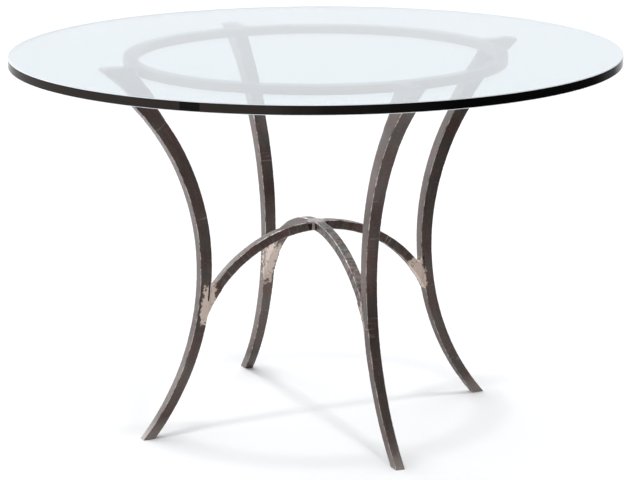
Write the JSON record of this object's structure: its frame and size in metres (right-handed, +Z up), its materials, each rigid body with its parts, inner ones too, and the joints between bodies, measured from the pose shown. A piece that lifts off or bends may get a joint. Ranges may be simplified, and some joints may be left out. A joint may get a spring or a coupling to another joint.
{
  "type": "glass_top_dining_table",
  "caption": "Round glass dining table on a welded base of bowed, tapered square steel legs, tied by crossing arches and a flat ring.",
  "frame": {"origin": "on the floor, under the centre of the glass", "axes": "+Z up through the middle of the glass, -Y towards the front, legs on the diagonals"},
  "size_m": [1.2188, 1.219, 0.762],
  "materials": {
    "glass": "clear, polished edge",
    "dark_steel": "dark mill scale under clear satin lacquer, worn to grey on the faces",
    "weld_steel": "ground bare, heat-tinted, under the same lacquer",
    "bumper_plastic": "clear, soft"
  },
  "bodies": {
    "base": {"top_ring": "dark_steel", "leg_front_left": "dark_steel", "leg_front_right": "dark_steel", "leg_back_right": "dark_steel", "leg_back_left": "dark_steel", "arch_front_left_back_right": "dark_steel", "arch_front_right_back_left": "dark_steel", "ring_gusset_front_left": "dark_steel", "ring_gusset_front_right": "dark_steel", "ring_gusset_back_right": "dark_steel", "ring_gusset_back_left": "dark_steel", "arch_weld_front_left": "weld_steel", "arch_weld_front_right": "weld_steel", "arch_weld_back_right": "weld_steel", "arch_weld_back_left": "weld_steel", "crown_weld": "weld_steel", "ring_weld_front_left": "weld_steel", "ring_weld_front_right": "weld_steel", "ring_weld_back_right": "weld_steel", "ring_weld_back_left": "weld_steel", "bumper_leg_front_left": "bumper_plastic", "bumper_leg_front_right": "bumper_plastic", "bumper_leg_back_right": "bumper_plastic", "bumper_leg_back_left": "bumper_plastic", "bumper_ring_front": "bumper_plastic", "bumper_ring_right": "bumper_plastic", "bumper_ring_back": "bumper_plastic", "bumper_ring_left": "bumper_plastic"},
    "glass": {"glass_top": "glass"}
  },
  "joints": [
    {"name": "glass_lift", "type": "slide", "parent": "base", "child": "glass", "axis": [0, 0, 1], "range_m": [0, 0.15]}
  ]
}
